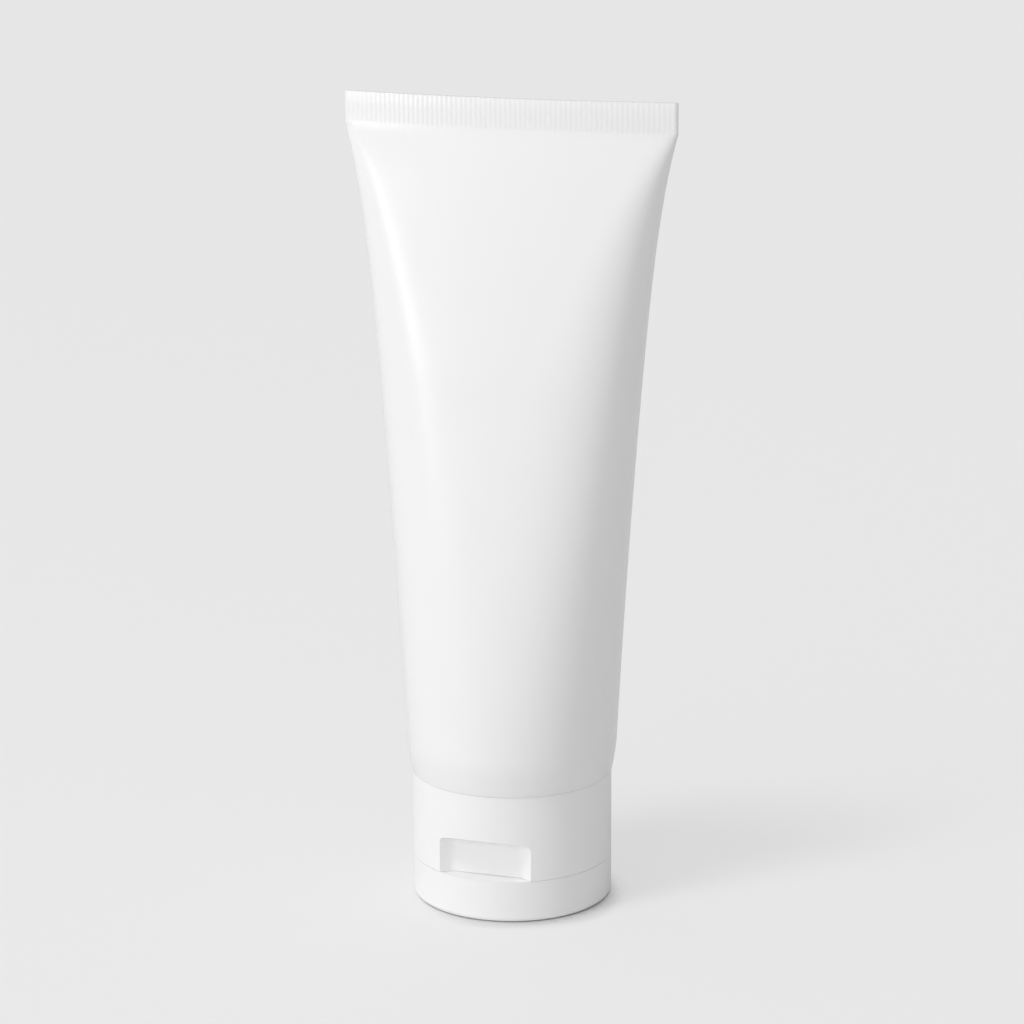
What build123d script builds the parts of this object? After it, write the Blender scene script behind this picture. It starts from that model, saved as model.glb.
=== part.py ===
from build123d import *
from math import atan2, cos, pi, sin, sqrt
import os

# A 100 ml cream tube that stands on its flip-top closure. Millimetres, +Z up.
# The origin is the middle of the closure's standing face, the thumb recess faces -Y,
# the lid's hinge is at +Y, and the flat crimp at the top runs along X.

# Sleeve: an extruded plastic tube, round below and pressed flat and welded at the top
sleeve_diameter = 40.3
sleeve_wall = 0.5
sleeve_length = 129.15
heel_height = 4.2          # the lower edge curls inwards over this height
heel_inset = 0.85
crimp_width = 64.4
crimp_height = 5.8
crimp_thickness = 0.95
crimp_bow = 2.6            # the middle of the crimp bends forwards by this much
rib_pitch = 0.95           # fine vertical ribs pressed into both sides of the crimp
rib_depth = 0.13
weld_end = 1.3             # the walls part this far below the crimp
flare_shares = (0.557, 0.244, 0.199)     # of the widening: straight, square and top flare
flare_power_share = 9.0
stretch_power_share = 4.0
bow_power_share = 7.0
face_angle_shares = (0.80, 0.999)        # of a quarter turn: side arc at the heel, at the crimp
face_power_share = 1.0
sections = 11              # of the loft from the round heel to the crimp

# Closure: a push-on flip-top cap moulded in one shot with its lid and hinge
closure_step = 1.0         # its surface is this far inside the sleeve's
closure_height = 24.95
seam_gap = 0.15            # between the closure and the sleeve's lower edge
skirt_wall = 1.3
skirt_edge_radius = 0.25
deck_thickness = 1.4
deck_rim_height = 1.2      # a low ring under the deck that centres the lid
deck_rim_wall = 1.0
web_count = 8              # radial webs between the collar and the skirt
web_thickness = 0.9
web_height = 4.4

# Thumb recess at the front of the closure, with a flat floor, open towards the lid
recess_shares = (0.474, 0.360, 0.0927)   # of the closure's diameter: mouth, floor width, depth
recess_height = 7.0        # at the sides of the mouth
recess_rise_share = 0.39   # of the depth: its top slopes up towards the front
recess_side_radius = 3.0   # between its floor and its slanted sides
recess_top_radius = 1.4

# Lid: a shallow cup, which carries the standing tube
lid_height = 8.07
parting_gap = 0.06
lid_wall = 1.3
lid_floor = 1.4
lid_edge_radius = 0.9
lid_pad_cover = 0.3        # the wall is thicker in front, to this far behind the recess's floor
rim_clearance = 0.3

# Spout and the lid's plug
orifice_diameter = 5.0
spout_tip_diameter = 8.4
spout_root_diameter = 10.6
spout_height = 3.2
plug_clearance = 0.1
plug_draft = 0.35
plug_wall = 0.85
plug_depth = 1.6

# Shoulder and neck: a moulded head welded into the sleeve
shoulder_wall = 1.3
shoulder_land = 1.45       # flat margin over the closure's upper edge
shoulder_rise = 1.5        # height of the welded rim
weld_gap = 0.05
cone_drop = 5.4
neck_diameter = 17.0
neck_wall = 1.5
neck_seat_gap = 0.05
bead_height = 0.45
bead_length = 1.3
bead_offset = 2.2          # from the neck's end
bead_clearance = 0.1
collar_clearance = 0.15
collar_wall = 1.6
collar_gap = 2.0           # between the collar and the shoulder's cone
key_width = 2.0            # two keys line the closure up with the crimp
key_height = 1.1
key_length = 2.6
key_clearance = 0.15

# Film hinge between the closure and its lid, folded over outwards while the lid is shut
hinge_width = 8.0
hinge_film = 0.35
hinge_fold_radius = 0.25
hinge_leg = 0.7
hinge_setback = 0.1        # of the fold's centre inside the closure's surface

# Cream inside: 100 ml, with some air left below the crimp
cream_level = 84.0         # above the heel
cream_gap = 0.2

overrun = 1.0              # of cutting tools past the faces that they cut

closure_radius = sleeve_diameter / 2 - closure_step
parting_z = lid_height + parting_gap / 2
deck_under_z = parting_z + parting_gap / 2
deck_top_z = deck_under_z + deck_thickness
seam_z = closure_height + seam_gap
heel_top_z = seam_z + heel_height
crimp_z = seam_z + sleeve_length - crimp_height
skirt_inner_radius = closure_radius - skirt_wall
recess_width, recess_floor_width, recess_depth = [2 * closure_radius * share for share in recess_shares]
recess_floor_y = recess_depth - closure_radius
recess_top_z = parting_z + recess_height
lid_inner_radius = closure_radius - lid_wall
lid_pad_y = recess_floor_y + lid_pad_cover
deck_rim_radius = -lid_pad_y - rim_clearance
spout_tip_z = deck_under_z - spout_height
neck_radius = neck_diameter / 2
bore_radius = neck_radius - neck_wall
neck_end_z = deck_top_z + neck_seat_gap
cone_z = seam_z - cone_drop
bead_z = neck_end_z + bead_offset
collar_inner_radius = neck_radius + collar_clearance
collar_outer_radius = collar_inner_radius + collar_wall
key_low_z = cone_z - key_length
fold_outer_radius = hinge_fold_radius + hinge_film
fold_y = closure_radius - hinge_setback


def turned(*outline):
    """A solid turned about Z from edges, or from points of radius and height."""
    if not isinstance(outline[0], Edge):
        outline = Polyline(*outline, close=True)
    return revolve(Plane.XZ * make_face(outline), Axis.Z)


def ring(outer_radius, inner_radius, low_z, high_z):
    return turned((inner_radius, low_z), (outer_radius, low_z),
                  (outer_radius, high_z), (inner_radius, high_z))


def bar(low, high):
    """A block between two corners."""
    size = [high[i] - low[i] for i in range(len(low))]
    return Pos(*low) * Box(*size, align=(Align.MIN, Align.MIN, Align.MIN))


def sleeve_oval(z):
    """Half-width, side radius, side angle, face radius and bow of the sleeve's section at z."""
    radius = sleeve_diameter / 2
    rise = (z - heel_top_z) / (crimp_z - heel_top_z)
    straight, square, top = flare_shares
    flare = straight * rise + square * rise ** 2 + top * rise ** flare_power_share
    half_width = radius + (crimp_width / 2 - radius) * flare
    # the length round the section stays that of the tube, apart from a little stretch at the weld
    quarter = pi / 2 * radius
    flat_quarter = crimp_width / 2 + (pi / 2 - 1) * crimp_thickness / 2
    quarter = quarter + (flat_quarter - quarter) * rise ** stretch_power_share
    low_share, high_share = face_angle_shares
    angle = pi / 2 * (low_share + (high_share - low_share) * rise ** face_power_share)
    face_angle = pi / 2 - angle
    side_radius = half_width - cos(angle) * quarter / face_angle
    side_radius = side_radius / (1 - cos(angle) - cos(angle) * angle / face_angle)
    face_radius = (quarter - side_radius * angle) / face_angle
    return half_width, side_radius, angle, face_radius, crimp_bow * rise ** bow_power_share


def sleeve_section(z, inset):
    """Four arcs that meet smoothly, inset from the sleeve's outside, at height z."""
    half_width, side_radius, angle, face_radius, bow = sleeve_oval(z)
    side_centre = half_width - side_radius
    face_centre = (face_radius - side_radius) * sin(angle)
    side, face = side_radius - inset, face_radius - inset

    def bowed(x, y):
        return x, y - bow * (1 - (x / half_width) ** 2), z

    end_x, face_y = side_centre + side, face - face_centre
    joint_x, joint_y = side_centre + side * cos(angle), side * sin(angle)
    right = ThreePointArc(bowed(joint_x, -joint_y), bowed(end_x, 0), bowed(joint_x, joint_y))
    back = ThreePointArc(bowed(joint_x, joint_y), bowed(0, face_y), bowed(-joint_x, joint_y))
    left = ThreePointArc(bowed(-joint_x, joint_y), bowed(-end_x, 0), bowed(-joint_x, -joint_y))
    front = ThreePointArc(bowed(-joint_x, -joint_y), bowed(0, -face_y), bowed(joint_x, -joint_y))
    return Wire([right, back, left, front])


def sleeve_form(inset, top_z):
    step = (top_z - heel_top_z) / (sections - 1)
    return Solid.make_loft([sleeve_section(heel_top_z + i * step, inset) for i in range(sections)])


def heel_radius(z, inset):
    """Radius of the sleeve's curled lower edge at height z, inset from its outside."""
    bend = (heel_height ** 2 + heel_inset ** 2) / (2 * heel_inset)
    return sleeve_diameter / 2 - bend + sqrt((bend - inset) ** 2 - (heel_top_z - z) ** 2)


def heel_arc(inset):
    heights = (seam_z, (seam_z + heel_top_z) / 2, heel_top_z)
    return ThreePointArc(*[(heel_radius(z, inset), z) for z in heights])


def crimp_strip():
    """The welded strip: a bowed band with zigzag ribs on both sides."""
    bow_radius = (crimp_width ** 2 / 4 + crimp_bow ** 2) / (2 * crimp_bow)
    bow_angle = 2 * atan2(crimp_bow, crimp_width / 2)
    steps = 2 * round(crimp_width / rib_pitch)

    def ribbed_edge(side):
        points = []
        for i in range(steps + 1):
            angle = bow_angle * (2 * i / steps - 1)
            radius = bow_radius + side * (crimp_thickness / 2 - rib_depth * (i % 2))
            points.append((radius * sin(angle), bow_radius - crimp_bow - radius * cos(angle)))
        return points

    outline = Polyline(*ribbed_edge(1), *reversed(ribbed_edge(-1)), close=True)
    return Pos(0, 0, crimp_z) * extrude(make_face(outline), crimp_height)


def tube_sleeve():
    outer, inner = heel_arc(0), heel_arc(sleeve_wall)
    heel = turned(outer, Line(outer @ 1, inner @ 1), inner, Line(inner @ 0, outer @ 0))
    shell = Part() + sleeve_form(0, crimp_z) - sleeve_form(sleeve_wall, crimp_z - weld_end)
    return heel + shell + crimp_strip()


def shoulder_inside(gap):
    """Radius and height of the cone's inner rim and of its foot at the bore, a gap above its face."""
    rim = heel_radius(seam_z, sleeve_wall) - weld_gap
    land = rim - shoulder_land
    slope = cone_drop / (land - neck_radius)
    lift = (shoulder_wall + gap) * sqrt(1 + slope ** 2)
    rim_z = seam_z + shoulder_rise + gap
    rim_inside = land + (rim_z - seam_z - lift) / slope
    foot = bore_radius - gap
    return rim_inside, rim_z, foot, cone_z - (neck_radius - foot) * slope + lift


def tube_shoulder():
    """The moulded head: a rim welded into the sleeve, a cone, and a neck with a snap bead."""
    rim = heel_radius(seam_z, sleeve_wall) - weld_gap
    rim_top = heel_radius(seam_z + shoulder_rise, sleeve_wall) - weld_gap
    inner_rim, rim_z, _, foot_z = shoulder_inside(0)
    bead_radius = neck_radius + bead_height
    head = turned(
        (rim, seam_z), (rim_top, rim_z), (inner_rim, rim_z), (bore_radius, foot_z),
        (bore_radius, neck_end_z), (neck_radius, neck_end_z), (neck_radius, bead_z),
        (bead_radius, bead_z + bead_height), (bead_radius, bead_z + bead_length),
        (neck_radius, bead_z + bead_length), (neck_radius, cone_z), (rim - shoulder_land, seam_z))
    slope = cone_drop / (rim - shoulder_land - neck_radius)
    key_root = neck_wall / 2
    key = bar((neck_radius - key_root, -key_width / 2, key_low_z),
              (neck_radius + key_height, key_width / 2, cone_z + (key_height + key_root) * slope))
    return head + key + Rot(0, 0, 180) * key


def cream_fill():
    """The contents, a hair clear of the walls, down to the closure's deck."""
    inner_rim, rim_z, foot, foot_z = shoulder_inside(cream_gap)
    inset = sleeve_wall + cream_gap
    low_z = deck_top_z + cream_gap
    head = turned(
        (0, low_z), (foot, low_z), (foot, foot_z), (inner_rim, rim_z), (heel_radius(rim_z, inset), rim_z),
        (heel_radius(heel_top_z, inset), heel_top_z), (0, heel_top_z))
    return head + sleeve_form(inset, heel_top_z + cream_level)


def recess_form(margin):
    """The thumb recess as a solid, or the outside of its pocket wall where it has a margin."""
    lip_y = -sqrt(closure_radius ** 2 - recess_width ** 2 / 4)
    floor_x, floor_y = recess_floor_width / 2 + margin, recess_floor_y + margin
    far_x, far_y = recess_width - floor_x + 2 * margin, 2 * lip_y - floor_y + 2 * margin
    front_y, low_z = -closure_radius - overrun, deck_under_z - overrun

    def top_z(y):
        rise = recess_rise_share
        return recess_top_z + (lip_y - y) * rise + margin * sqrt(1 + rise ** 2)

    outline = make_face(Polyline(
        (floor_x, floor_y), (far_x, far_y), (far_x, front_y),
        (-far_x, front_y), (-far_x, far_y), (-floor_x, floor_y), close=True))
    outline = fillet(outline.vertices().sort_by(Axis.Y)[-2:], recess_side_radius + margin)
    profile = make_face(Polyline(
        (floor_y, low_z), (floor_y, top_z(floor_y)),
        (front_y, top_z(front_y)), (front_y, low_z), close=True))
    form = Pos(0, 0, low_z) * extrude(outline, top_z(front_y) - low_z)
    form = form & extrude(Plane.YZ * profile, far_x, both=True)
    top_edges = form.faces().sort_by(Axis.Z)[-1].edges().sort_by(Axis.Y)
    return fillet(top_edges[3:], recess_top_radius + margin)


def hinge_relief(low_z, high_z):
    """Room for the film hinge at the back of the closure or the lid."""
    return bar((-hinge_width / 2, fold_y - hinge_leg, low_z),
               (hinge_width / 2, closure_radius + overrun, high_z))


def closure_base():
    """Skirt, deck and spout, with a collar that snaps over the neck and a pocket for the thumb."""
    skirt = ring(closure_radius, skirt_inner_radius, deck_under_z, closure_height)
    skirt = fillet(skirt.edges().group_by(Axis.Z)[-1].sort_by(SortBy.LENGTH)[-1], skirt_edge_radius)
    deck = ring(closure_radius, orifice_diameter / 2, deck_under_z, deck_top_z)
    collar_top_z = cone_z - collar_gap
    collar = ring(collar_outer_radius, collar_inner_radius, deck_top_z, collar_top_z)
    groove = ring(neck_radius + bead_height + bead_clearance, 0,
                  bead_z - bead_clearance, bead_z + bead_length + bead_clearance)
    slot_width = key_width + 2 * key_clearance
    slot = bar((-closure_radius, -slot_width / 2, key_low_z - key_clearance),
               (closure_radius, slot_width / 2, collar_top_z + overrun))
    rim = ring(deck_rim_radius, deck_rim_radius - deck_rim_wall,
               deck_under_z - deck_rim_height, deck_under_z)
    spout = turned((orifice_diameter / 2, spout_tip_z), (spout_tip_diameter / 2, spout_tip_z),
                   (spout_root_diameter / 2, deck_under_z), (orifice_diameter / 2, deck_under_z))
    web = bar((collar_outer_radius - collar_wall / 2, -web_thickness / 2, deck_top_z),
              (skirt_inner_radius + skirt_wall / 2, web_thickness / 2, deck_top_z + web_height))
    webs = [Rot(0, 0, (i + 0.5) * 360 / web_count) * web for i in range(web_count)]
    pocket = ring(skirt_inner_radius + skirt_wall / 2, 0, deck_under_z, closure_height)
    pocket = pocket & recess_form(skirt_wall)
    body = skirt + deck + (collar - groove - slot) + rim + spout + webs + pocket
    return body - recess_form(0) - hinge_relief(deck_under_z - overrun, parting_z + fold_outer_radius)


def closure_lid():
    """A flat-ended cup with a plug for the spout, thicker at the front behind the thumb recess."""
    cup = turned((0, 0), (closure_radius, 0), (closure_radius, lid_height), (lid_inner_radius, lid_height),
                 (lid_inner_radius, lid_floor), (0, lid_floor))
    cup = fillet(cup.edges().group_by(Axis.Z)[0], lid_edge_radius)
    pad = bar((-closure_radius, -closure_radius, lid_floor), (closure_radius, lid_pad_y, lid_height))
    pad = pad & ring(lid_inner_radius + lid_wall / 2, 0, lid_floor, lid_height)
    mouth_radius = orifice_diameter / 2 - plug_clearance
    tip_radius = mouth_radius - plug_draft
    tip_z = spout_tip_z + plug_depth
    plug_bore = tip_radius - plug_wall
    plug = turned((plug_bore, lid_floor), (mouth_radius, lid_floor), (mouth_radius, spout_tip_z),
                  (tip_radius, tip_z), (plug_bore, tip_z))
    return cup + pad + plug - hinge_relief(parting_z - fold_outer_radius, lid_height + overrun)


def living_hinge():
    """The film, folded outwards into a U, with a leg on the closure and one on the lid."""
    outer, inner = fold_outer_radius, hinge_fold_radius
    profile = make_face([
        Line((0, inner), (-hinge_leg, inner)), Line((-hinge_leg, inner), (-hinge_leg, outer)),
        Line((-hinge_leg, outer), (0, outer)), ThreePointArc((0, outer), (outer, 0), (0, -outer)),
        Line((0, -outer), (-hinge_leg, -outer)), Line((-hinge_leg, -outer), (-hinge_leg, -inner)),
        Line((-hinge_leg, -inner), (0, -inner)), ThreePointArc((0, -inner), (inner, 0), (0, inner))])
    return Pos(0, fold_y, parting_z) * extrude(Plane.YZ * profile, hinge_width / 2, both=True)


parts = {
    "tube_sleeve": tube_sleeve(),
    "tube_shoulder": tube_shoulder(),
    "cream_fill": cream_fill(),
    "closure_base": closure_base(),
    "closure_lid": closure_lid(),
    "living_hinge": living_hinge(),
}

os.makedirs("parts", exist_ok=True)
for node, part in parts.items():
    export_step(part, f"parts/{node}.step")
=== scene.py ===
import bmesh
import bpy
from math import cos, pi, radians, sin
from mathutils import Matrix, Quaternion, Vector


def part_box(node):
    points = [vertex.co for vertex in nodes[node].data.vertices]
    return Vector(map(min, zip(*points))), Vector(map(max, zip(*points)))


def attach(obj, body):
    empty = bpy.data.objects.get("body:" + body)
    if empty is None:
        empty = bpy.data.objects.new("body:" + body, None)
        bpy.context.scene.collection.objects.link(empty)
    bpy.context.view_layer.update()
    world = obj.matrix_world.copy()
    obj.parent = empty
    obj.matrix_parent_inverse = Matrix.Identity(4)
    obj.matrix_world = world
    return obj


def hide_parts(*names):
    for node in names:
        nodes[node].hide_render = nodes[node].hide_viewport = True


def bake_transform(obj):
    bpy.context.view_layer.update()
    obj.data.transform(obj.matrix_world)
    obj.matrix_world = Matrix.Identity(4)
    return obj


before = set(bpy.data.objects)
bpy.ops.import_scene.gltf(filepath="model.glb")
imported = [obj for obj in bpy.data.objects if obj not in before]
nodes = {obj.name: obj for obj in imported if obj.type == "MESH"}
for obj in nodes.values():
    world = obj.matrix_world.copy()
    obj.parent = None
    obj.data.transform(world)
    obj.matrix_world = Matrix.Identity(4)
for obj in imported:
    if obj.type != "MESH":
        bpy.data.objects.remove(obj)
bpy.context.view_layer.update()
mm = 0.001
print("frame loaded with", len(nodes), "nodes")


# Small helpers

def startFresh():
    if bpy.context.object and bpy.context.object.mode != "OBJECT":
        bpy.ops.object.mode_set(mode="OBJECT")
    bpy.ops.object.select_all(action="DESELECT")


def shaderTree(owner):
    owner.use_nodes = True
    owner.node_tree.nodes.clear()
    return owner.node_tree.nodes, owner.node_tree.links


def addNode(tree, kind, **values):
    node = tree.new(kind)
    for name, value in values.items():
        if hasattr(node, name):
            setattr(node, name, value)
        else:
            node.inputs[name.replace("_", " ")].default_value = value
    return node


# Camera, at the photograph's own angle

camera = {
    "place": (0.1951, -0.6004, 0.2390),
    "target": (0.00017, 0.00006, 0.0754),
    "roll": -0.249,             # degrees
    "lens": 121.1,
    "sensor": 36,
}


def addCamera():
    startFresh()
    place, target = Vector(camera["place"]), Vector(camera["target"])
    bpy.ops.object.camera_add(location=place)
    eye = bpy.context.object
    eye.name = "studioCamera"
    eye.rotation_mode = "QUATERNION"
    roll = Quaternion((0, 0, 1), radians(camera["roll"]))
    eye.rotation_quaternion = (target - place).to_track_quat("-Z", "Y") @ roll
    eye.data.lens = camera["lens"]
    eye.data.sensor_width = camera["sensor"]
    bpy.context.scene.camera = eye


# Studio: pale floor, even fill, two broad glows on the left, a strip softbox and a soft lamp; the
# floor's glow carries a painted contact shadow

studio = {
    "floorSize": 14.0,
    "standGap": 0.05 * mm,
    "floorGrey": 0.80,
    "seenFloorGrey": 0.36,      # for the camera a part of the floor's tone is its own glow,
    "seenFloorGlow": 0.504,     # which thins the shadow
    "paintedShadeReach": 7 * mm,     # painted contact shadow: the floor's glow fades this close to what stands on the floor
    "paintedShadeOpenness": (0.18, 0.58),    # no glow at the first, all of it at the second
    "paintedShadeLean": (-125, 54),  # azimuth and elevation that count as upright: the painted shade is lighter on the lit side
    "paintedShadeSamples": 4,
    "backgroundGrey": 0.799,    # what the camera sees past the floor
    "fillGrey": 0.497,
    "glows": (                  # even up to the first angle from the middle, faded out at the second
        {"azimuth": -20, "elevation": 15, "angles": (10, 45), "strength": 0.62},
        {"azimuth": -125, "elevation": 20, "angles": (20, 60), "strength": 0.21},
    ),
    "stripAzimuth": -39,
    "stripDistance": 0.9,
    "stripSize": (0.16, 0.42),
    "stripBottom": 0.04,
    "stripRadiance": 8.2,
    "lampAzimuth": -36,
    "lampElevation": 64,
    "lampAngle": 14,            # how wide the lamp looks, which softens the shadow
    "lampStrength": 0.72,
}


def directionOf(azimuth, elevation):
    # degrees round from the front, towards the right, and degrees up
    azimuth, elevation = radians(azimuth), radians(elevation)
    return Vector((sin(azimuth) * cos(elevation), -cos(azimuth) * cos(elevation), sin(elevation)))


def greyOf(level):
    return level, level, level, 1


def addFloor():
    startFresh()
    bpy.ops.mesh.primitive_plane_add(size=studio["floorSize"], location=(0, 0, -studio["standGap"]))
    floor = bpy.context.object
    floor.name = "studioFloor"
    paint = bpy.data.materials.new("paleFloor")
    tree, links = shaderTree(paint)
    path = addNode(tree, "ShaderNodeLightPath")
    plain = addNode(tree, "ShaderNodeBsdfDiffuse", Color=greyOf(studio["floorGrey"]))
    seen = addNode(tree, "ShaderNodeBsdfDiffuse", Color=greyOf(studio["seenFloorGrey"]))
    glow = addNode(tree, "ShaderNodeEmission", Color=greyOf(1))
    # Painted contact shadow: ambient occlusion, leaned towards the lit side, dims the floor's glow
    # next to what stands on it
    lean = directionOf(*studio["paintedShadeLean"])
    upwards = addNode(tree, "ShaderNodeCombineXYZ", X=lean.x, Y=lean.y, Z=lean.z)
    shadeOpenness = addNode(tree, "ShaderNodeAmbientOcclusion", samples=studio["paintedShadeSamples"],
                       Distance=studio["paintedShadeReach"])
    fade = addFade(tree, studio["paintedShadeOpenness"], studio["seenFloorGlow"])
    both = addNode(tree, "ShaderNodeAddShader")
    mix = addNode(tree, "ShaderNodeMixShader")
    output = addNode(tree, "ShaderNodeOutputMaterial")
    links.new(upwards.outputs[0], shadeOpenness.inputs["Normal"])
    links.new(shadeOpenness.outputs["AO"], fade.inputs["Value"])
    links.new(fade.outputs[0], glow.inputs["Strength"])
    links.new(seen.outputs[0], both.inputs[0])
    links.new(glow.outputs[0], both.inputs[1])
    links.new(path.outputs["Is Camera Ray"], mix.inputs[0])
    links.new(plain.outputs[0], mix.inputs[1])
    links.new(both.outputs[0], mix.inputs[2])
    links.new(mix.outputs[0], output.inputs["Surface"])
    floor.data.materials.append(paint)


def addFade(tree, span, most):
    fade = addNode(tree, "ShaderNodeMapRange", interpolation_type="SMOOTHSTEP")
    fade.inputs["From Min"].default_value, fade.inputs["From Max"].default_value = span
    fade.inputs["To Max"].default_value = most
    return fade


def addAir():
    world = bpy.data.worlds.new("studioAir")
    bpy.context.scene.world = world
    tree, links = shaderTree(world)
    path = addNode(tree, "ShaderNodeLightPath")
    towards = addNode(tree, "ShaderNodeTexCoord").outputs["Generated"]
    air = addNode(tree, "ShaderNodeValue")
    air.outputs[0].default_value = studio["fillGrey"]
    level = air.outputs[0]
    for glow in studio["glows"]:
        facing = addNode(tree, "ShaderNodeVectorMath", operation="DOT_PRODUCT")
        facing.inputs[1].default_value = directionOf(glow["azimuth"], glow["elevation"])
        inner, outer = glow["angles"]
        fade = addFade(tree, (cos(radians(outer)), cos(radians(inner))), glow["strength"])
        total = addNode(tree, "ShaderNodeMath", operation="ADD")
        links.new(towards, facing.inputs[0])
        links.new(facing.outputs["Value"], fade.inputs["Value"])
        links.new(level, total.inputs[0])
        links.new(fade.outputs[0], total.inputs[1])
        level = total.outputs[0]
    lit = addNode(tree, "ShaderNodeBackground", Color=greyOf(1))
    shown = addNode(tree, "ShaderNodeBackground", Color=greyOf(studio["backgroundGrey"]))
    mix = addNode(tree, "ShaderNodeMixShader")
    output = addNode(tree, "ShaderNodeOutputWorld")
    links.new(level, lit.inputs["Strength"])
    links.new(path.outputs["Is Camera Ray"], mix.inputs[0])
    links.new(lit.outputs[0], mix.inputs[1])
    links.new(shown.outputs[0], mix.inputs[2])
    links.new(mix.outputs[0], output.inputs["Surface"])


def addLight(kind, name, place, towards):
    startFresh()
    bpy.ops.object.light_add(type=kind, location=place)
    light = bpy.context.object
    light.name = name
    light.rotation_mode = "QUATERNION"
    light.rotation_quaternion = (-towards).to_track_quat("-Z", "Y")
    return light


def addLights():
    towards = directionOf(studio["lampAzimuth"], studio["lampElevation"])
    lamp = addLight("SUN", "softLamp", towards, towards)
    lamp.data.angle = radians(studio["lampAngle"])
    lamp.data.energy = studio["lampStrength"]

    wide, tall = studio["stripSize"]
    towards = directionOf(studio["stripAzimuth"], 0)
    place = towards * studio["stripDistance"] + Vector((0, 0, studio["stripBottom"] + tall / 2))
    strip = addLight("AREA", "stripSoftbox", place, towards)
    strip.data.shape = "RECTANGLE"
    strip.data.size, strip.data.size_y = wide, tall
    strip.data.energy = studio["stripRadiance"] * pi * wide * tall


# Plastics and cream: each has a faint mottle, an uneven gloss and a fine moulded or extruded grain

noise = {
    "range": (0.2, 0.8),        # the values that a noise texture gives most of the time
    "mottleDetail": 3.0,
    "fineDetail": 2.0,
}
sleevePlastic = {
    "name": "satinSleevePlastic",
    "light": (0.88, 0.88, 0.88), "dark": (0.865, 0.865, 0.868), "mottleSize": 14 * mm,
    "roughness": (0.245, 0.271), "glossPatch": 9 * mm, "ior": 1.39,
    "grainSize": 0.45 * mm, "grainStretch": 0.35, "grainHeight": 0.004 * mm,
}
closurePlastic = {
    "name": "mattClosurePlastic",
    "light": (0.896, 0.896, 0.896), "dark": (0.884, 0.884, 0.886), "mottleSize": 8 * mm,
    "roughness": (0.46, 0.54), "glossPatch": 5 * mm, "ior": 1.42,
    "grainSize": 0.22 * mm, "grainStretch": 1.0, "grainHeight": 0.006 * mm,
}
shoulderPlastic = {
    "name": "plainShoulderPlastic",
    "light": (0.86, 0.86, 0.855), "dark": (0.84, 0.84, 0.835), "mottleSize": 6 * mm,
    "roughness": (0.30, 0.38), "glossPatch": 4 * mm, "ior": 1.5,
    "grainSize": 0.6 * mm, "grainStretch": 1.0, "grainHeight": 0.004 * mm,
}
whiteCream = {
    "name": "whiteCream",
    "light": (0.88, 0.87, 0.84), "dark": (0.85, 0.84, 0.80), "mottleSize": 11 * mm,
    "roughness": (0.28, 0.36), "glossPatch": 6 * mm, "ior": 1.4,
    "grainSize": 2.5 * mm, "grainStretch": 1.0, "grainHeight": 0.06 * mm,
    "scatter": 0.15, "scatterDepth": 1.5 * mm,
}


def addNoise(tree, size, detail):
    return addNode(tree, "ShaderNodeTexNoise", Scale=1 / size, Detail=noise[detail])


def makePlastic(look):
    paint = bpy.data.materials.new(look["name"])
    tree, links = shaderTree(paint)
    place = addNode(tree, "ShaderNodeTexCoord").outputs["Object"]

    mottle = addNoise(tree, look["mottleSize"], "mottleDetail")
    tone = addNode(tree, "ShaderNodeMixRGB")
    tone.inputs["Color1"].default_value = (*look["dark"], 1)
    tone.inputs["Color2"].default_value = (*look["light"], 1)
    patch = addNoise(tree, look["glossPatch"], "fineDetail")
    gloss = addNode(tree, "ShaderNodeMapRange")
    gloss.inputs["From Min"].default_value, gloss.inputs["From Max"].default_value = noise["range"]
    gloss.inputs["To Min"].default_value, gloss.inputs["To Max"].default_value = look["roughness"]

    stretch = addNode(tree, "ShaderNodeMapping")
    stretch.inputs["Scale"].default_value = (1, 1, look["grainStretch"])
    grain = addNoise(tree, look["grainSize"], "fineDetail")
    bump = addNode(tree, "ShaderNodeBump", Strength=1.0, Distance=look["grainHeight"])

    shader = addNode(tree, "ShaderNodeBsdfPrincipled", IOR=look["ior"])
    if "scatter" in look:
        shader.inputs["Subsurface Weight"].default_value = look["scatter"]
        shader.inputs["Subsurface Scale"].default_value = look["scatterDepth"]
    output = addNode(tree, "ShaderNodeOutputMaterial")
    links.new(place, mottle.inputs["Vector"])
    links.new(mottle.outputs[0], tone.inputs["Fac"])
    links.new(tone.outputs[0], shader.inputs["Base Color"])
    links.new(place, patch.inputs["Vector"])
    links.new(patch.outputs[0], gloss.inputs["Value"])
    links.new(gloss.outputs[0], shader.inputs["Roughness"])
    links.new(place, stretch.inputs["Vector"])
    links.new(stretch.outputs[0], grain.inputs["Vector"])
    links.new(grain.outputs[0], bump.inputs["Height"])
    links.new(bump.outputs[0], shader.inputs["Normal"])
    links.new(shader.outputs[0], output.inputs["Surface"])
    return paint


# Sleeve: a straight tube that is flattened towards the crimp, with its wall and the ribbed weld

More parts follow.
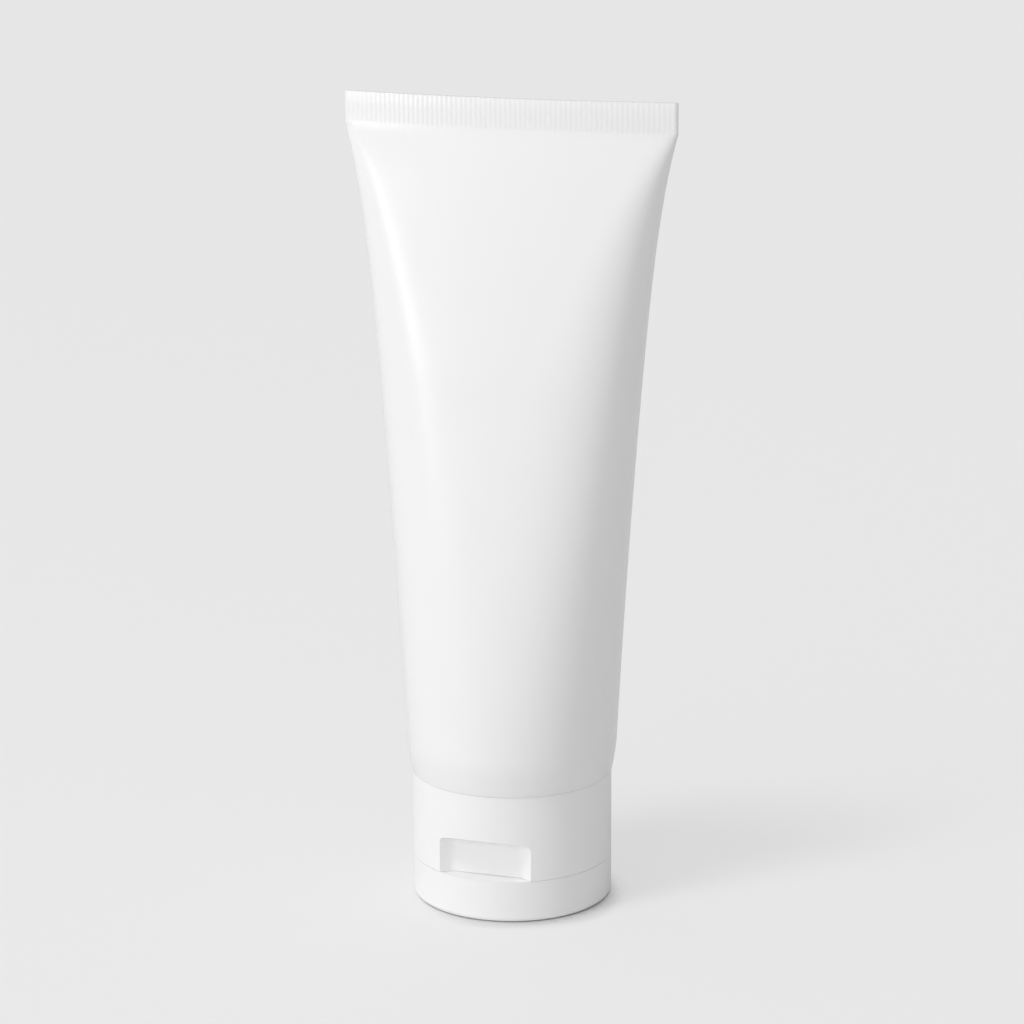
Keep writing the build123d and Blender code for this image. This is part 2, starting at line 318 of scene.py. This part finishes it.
sleeve = {
    "radius": 20.15 * mm,
    "wall": 0.5 * mm,
    "heelHeight": 5.6 * mm,     # the lower edge curls in over this height
    "heelInset": 0.85 * mm,
    "heelPower": 1.25,          # 1 would be a cone
    "innerHeelHeight": 4.2 * mm,
    "innerHeelPower": 2,
    "lipRadius": 0.08 * mm,
    "lipDrop": 0.11 * mm,       # the lip hangs this much lower than the node's
    "crimpHalfWidth": 32.2 * mm,
    "crimpHeight": 5.8 * mm,
    "crimpThickness": 0.95 * mm,
    "crimpBow": 2.6 * mm,       # the middle of the crimp bends forwards
    "weldEnd": 1.3 * mm,        # the walls part this far below the crimp
    "weldTaper": 0.3 * mm,      # height of the wedge where they part
    "ribs": 68,                 # on each face
    "ribDepth": 0.05 * mm,
    "ribStart": ((0.25 * mm, 0.6), (0.5 * mm, 1)),  # heights, and the shares of their depth there
    "rimBevel": 0.1 * mm,
    "edgeShare": 0.3,           # of a rounded edge's radius: where its middle ring lies
    "flare": (0.557, 0.244, 0.199),     # shares of the widening, each with its power of the height
    "flarePowers": (1, 2, 9),
    "girthPower": 4,            # how late the girth takes up the crimp's thickness
    "bowPower": 7,
    "sideShares": (0.80, 0.999),        # of a quarter turn: the side's arc, below and above
    "ridgeSoftness": 0.6,       # of the shorter arc: how far its curve blends into the next
    "around": 544,              # points round the tube, eight to a pair of ribs
    "fineSteps": 4,             # of the section's curve from one point to the next
    "bodyRings": 64,
    "innerRings": 24,
    "heelRings": (0.04, 0.2, 0.4, 0.6, 0.8, 1.0),   # shares of the heel's height
    "innerHeelRings": (0.66, 0.33, 0.04),
    "crimpRings": (0.3, 0.6),   # shares of the crimp's height
    "mergeDistance": 0.002 * mm,
    "smoothAngle": 32,
}


def sleeveSection(rise):
    s = sleeve
    widening = sum(share * rise ** power for share, power in zip(s["flare"], s["flarePowers"]))
    halfWidth = s["radius"] + (s["crimpHalfWidth"] - s["radius"]) * widening
    quarter = pi / 2 * s["radius"]      # the girth stays that of the round tube
    flatQuarter = s["crimpHalfWidth"] + (pi / 2 - 1) * s["crimpThickness"] / 2
    quarter += (flatQuarter - quarter) * rise ** s["girthPower"]
    low, high = s["sideShares"]
    angle = pi / 2 * (low + (high - low) * rise)
    rest = pi / 2 - angle
    side = halfWidth - cos(angle) * quarter / rest
    side /= 1 - cos(angle) - cos(angle) * angle / rest
    face = (quarter - side * angle) / rest
    section = {"halfWidth": halfWidth, "quarter": quarter, "angle": angle, "side": side,
               "face": face, "bow": s["crimpBow"] * rise ** s["bowPower"]}
    section["table"] = quarterTable(section)
    return section


def quarterTable(section):
    # points and turning angles along a quarter of the girth, from the side to the middle of the face
    steps = sleeve["around"] // 4
    sideRun = section["side"] * section["angle"]
    reach = sleeve["ridgeSoftness"] * min(sideRun, section["quarter"] - sideRun)
    fine = sleeve["fineSteps"]
    step = section["quarter"] / steps / fine
    sideBend, faceBend = 1 / section["side"], 1 / section["face"]
    bends = []
    for i in range(steps * fine):
        share = ((i + 0.5) * step - sideRun + reach) / (2 * reach)
        share = min(1, max(0, share))
        share = share * share * (3 - 2 * share)
        bends.append((sideBend + (faceBend - sideBend) * share) * step)
    scale = pi / 2 / sum(bends)
    angle = x = y = 0
    table = [(0, 0, 0)]
    for i, bend in enumerate(bends):
        middle = angle + bend * scale / 2
        x, y, angle = x + sin(middle) * step, y + cos(middle) * step, angle + bend * scale
        if (i + 1) % fine == 0:
            table.append((x, y, angle))
    return [(section["halfWidth"] * (1 - across / x), up, angle) for across, up, angle in table]


def sleevePoint(section, turn, inset, flat=False):
    # turn counts points round the tube, from its right end towards the back
    steps = sleeve["around"] // 4
    corner, place = turn // steps % 4, turn % steps
    x, y, angle = section["table"][steps - place if corner % 2 else place]
    x, y = x - inset * cos(angle), 0 if flat else y - inset * sin(angle)
    x = -x if corner in (1, 2) else x
    y = -y if corner in (2, 3) else y
    return x, y - section["bow"] * (1 - (x / section["halfWidth"]) ** 2)


def heelRadius(height, inset):
    s = sleeve
    side = "innerHeel" if inset > s["wall"] / 2 else "heel"
    drop = max(0, 1 - height / s[side + "Height"])
    return s["radius"] - inset - s["heelInset"] * drop ** s[side + "Power"]


def sleeveRings(lowZ, topZ):
    # from the weld down the inside, round the lower lip and up the outside to the crimp's rim
    s = sleeve
    heelTop, crimpZ = lowZ + s["heelHeight"], topZ - s["crimpHeight"]
    innerTop = crimpZ - s["weldEnd"]
    lip, rim, share = s["lipRadius"], s["rimBevel"], s["edgeShare"]
    rings = [{"z": innerTop + s["weldTaper"], "inset": s["wall"], "flat": True}]
    for i in range(s["innerRings"] + 1):
        rings.append({"z": innerTop + (heelTop - innerTop) * i / s["innerRings"], "inset": s["wall"]})
    for height in s["innerHeelRings"]:
        rings.append({"z": lowZ + height * s["heelHeight"], "inset": s["wall"]})
    rings.append({"z": lowZ, "inset": s["wall"] - lip})
    rings.append({"z": lowZ, "inset": lip})
    rings.append({"z": lowZ + share * lip, "inset": share * lip})
    for height in s["heelRings"]:
        rings.append({"z": lowZ + height * s["heelHeight"], "inset": 0})
    for i in range(1, s["bodyRings"] + 1):
        rings.append({"z": heelTop + (crimpZ - heelTop) * i / s["bodyRings"], "inset": 0})
    for height, depth in s["ribStart"]:
        rings.append({"z": crimpZ + height, "inset": 0, "ribs": depth})
    for height in s["crimpRings"]:
        rings.append({"z": crimpZ + height * s["crimpHeight"], "inset": 0, "ribs": 1})
    rings.append({"z": topZ - rim, "inset": 0, "ribs": 1})
    rings.append({"z": topZ - share * rim, "inset": share * rim, "ribs": 1})
    rings.append({"z": topZ, "inset": rim, "ribs": 1})
    rings.append({"z": topZ, "inset": rim, "flat": True})
    return rings


def placeRing(ring, turn, lowZ, crimpZ):
    s = sleeve
    heelTop = lowZ + s["heelHeight"]
    if "section" not in ring:
        ring["section"] = sleeveSection(min(1, max(0, (ring["z"] - heelTop) / (crimpZ - heelTop))))
    if ring["z"] < heelTop:
        size = heelRadius(ring["z"] - lowZ, ring["inset"]) / s["radius"]
        x, y = sleevePoint(ring["section"], turn, 0)
        return x * size, y * size
    wave = abs(turn * 4 * s["ribs"] / s["around"] % 2 - 1)      # 1 on a rib, 0 in a groove
    inset = ring["inset"] + ring.get("ribs", 0) * s["ribDepth"] * (1 - wave)
    return sleevePoint(ring["section"], turn, inset, ring.get("flat", False))


def makeSleeve(paint):
    startFresh()
    low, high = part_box("tube_sleeve")
    lowZ, crimpZ = low.z - sleeve["lipDrop"], high.z - sleeve["crimpHeight"]
    rings = sleeveRings(lowZ, high.z)
    bpy.ops.mesh.primitive_circle_add(vertices=sleeve["around"], radius=sleeve["radius"],
                                      fill_type="NOTHING")
    piece = bpy.context.object
    piece.name = "flattenedSleeve"
    bpy.ops.object.mode_set(mode="EDIT")
    bpy.ops.mesh.select_all(action="SELECT")
    step = 1 * mm                       # one ring above the other, before each gets its own place
    for _ in rings[1:]:
        bpy.ops.mesh.extrude_region_move(TRANSFORM_OT_translate={"value": (0, 0, step)})
    mesh = bmesh.from_edit_mesh(piece.data)
    for vertex in mesh.verts:
        ring = rings[round(vertex.co.z / step)]
        turn = Vector((1, 0)).angle_signed(vertex.co.xy) / (-2 * pi)    # signed angles run clockwise
        turn = round(turn * sleeve["around"]) % sleeve["around"]
        x, y = placeRing(ring, turn, lowZ, crimpZ)
        vertex.co = x, y, ring["z"]
    bmesh.update_edit_mesh(piece.data)
    bpy.ops.mesh.select_all(action="SELECT")
    bpy.ops.mesh.remove_doubles(threshold=sleeve["mergeDistance"])
    bpy.ops.mesh.normals_make_consistent(inside=False)
    bpy.ops.object.mode_set(mode="OBJECT")
    bpy.ops.object.shade_smooth_by_angle(angle=radians(sleeve["smoothAngle"]))
    piece.data.materials.append(paint)
    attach(piece, "tube")
    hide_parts("tube_sleeve")
    print("sleeve:", len(piece.data.polygons), "faces")


# Film hinge: a thin folded band, drawn as it lies with the lid shut

hinge = {
    "halfWidth": 4.0 * mm,
    "foldY": 19.05 * mm,
    "foldZ": 8.10 * mm,
    "foldRadius": 0.425 * mm,   # to the middle of the film
    "film": 0.35 * mm,
    "leg": 0.7 * mm,            # length of the straight part on either side of the fold
    "cuts": 23,
    "smoothAngle": 40,
}


def makeHinge(paint):
    startFresh()
    h = hinge
    bpy.ops.mesh.primitive_plane_add(size=1, location=(0, 0, 0))
    piece = bpy.context.object
    piece.name = "filmHinge"
    bpy.ops.object.mode_set(mode="EDIT")
    bpy.ops.mesh.select_all(action="SELECT")
    bpy.ops.mesh.subdivide(number_cuts=h["cuts"])
    mesh = bmesh.from_edit_mesh(piece.data)
    length = 2 * h["leg"] + pi * h["foldRadius"]
    for vertex in mesh.verts:
        run = (vertex.co.y + 0.5) * length
        x = vertex.co.x * 2 * h["halfWidth"]
        if run < h["leg"]:
            y, z = h["foldY"] - h["leg"] + run, h["foldZ"] + h["foldRadius"]
        elif run > length - h["leg"]:
            y, z = h["foldY"] - h["leg"] + length - run, h["foldZ"] - h["foldRadius"]
        else:
            angle = (run - h["leg"]) / h["foldRadius"]
            y, z = h["foldY"] + h["foldRadius"] * sin(angle), h["foldZ"] + h["foldRadius"] * cos(angle)
        vertex.co = x, y, z
    bmesh.update_edit_mesh(piece.data)
    bpy.ops.object.mode_set(mode="OBJECT")
    wall = piece.modifiers.new("film", "SOLIDIFY")
    wall.thickness = h["film"]
    wall.offset = 0
    bpy.ops.object.modifier_apply(modifier=wall.name)
    bpy.ops.object.mode_set(mode="EDIT")
    bpy.ops.mesh.select_all(action="SELECT")
    bpy.ops.mesh.normals_make_consistent(inside=False)
    bpy.ops.object.mode_set(mode="OBJECT")
    bpy.ops.object.shade_smooth_by_angle(angle=radians(h["smoothAngle"]))
    piece.data.materials.append(paint)
    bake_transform(piece)
    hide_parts("living_hinge")
    print("film hinge folded")


def paintNode(name, paint):
    node = nodes[name]
    node.data.materials.clear()
    node.data.materials.append(paint)


bpy.context.scene.view_settings.view_transform = "Standard"
addCamera()
addFloor()
addAir()
addLights()
print("camera and studio set")
closurePaint = makePlastic(closurePlastic)
makeSleeve(makePlastic(sleevePlastic))
makeHinge(closurePaint)
paintNode("closure_base", closurePaint)
paintNode("closure_lid", closurePaint)
paintNode("tube_shoulder", makePlastic(shoulderPlastic))
paintNode("cream_fill", makePlastic(whiteCream))
print("closure, shoulder and cream painted")
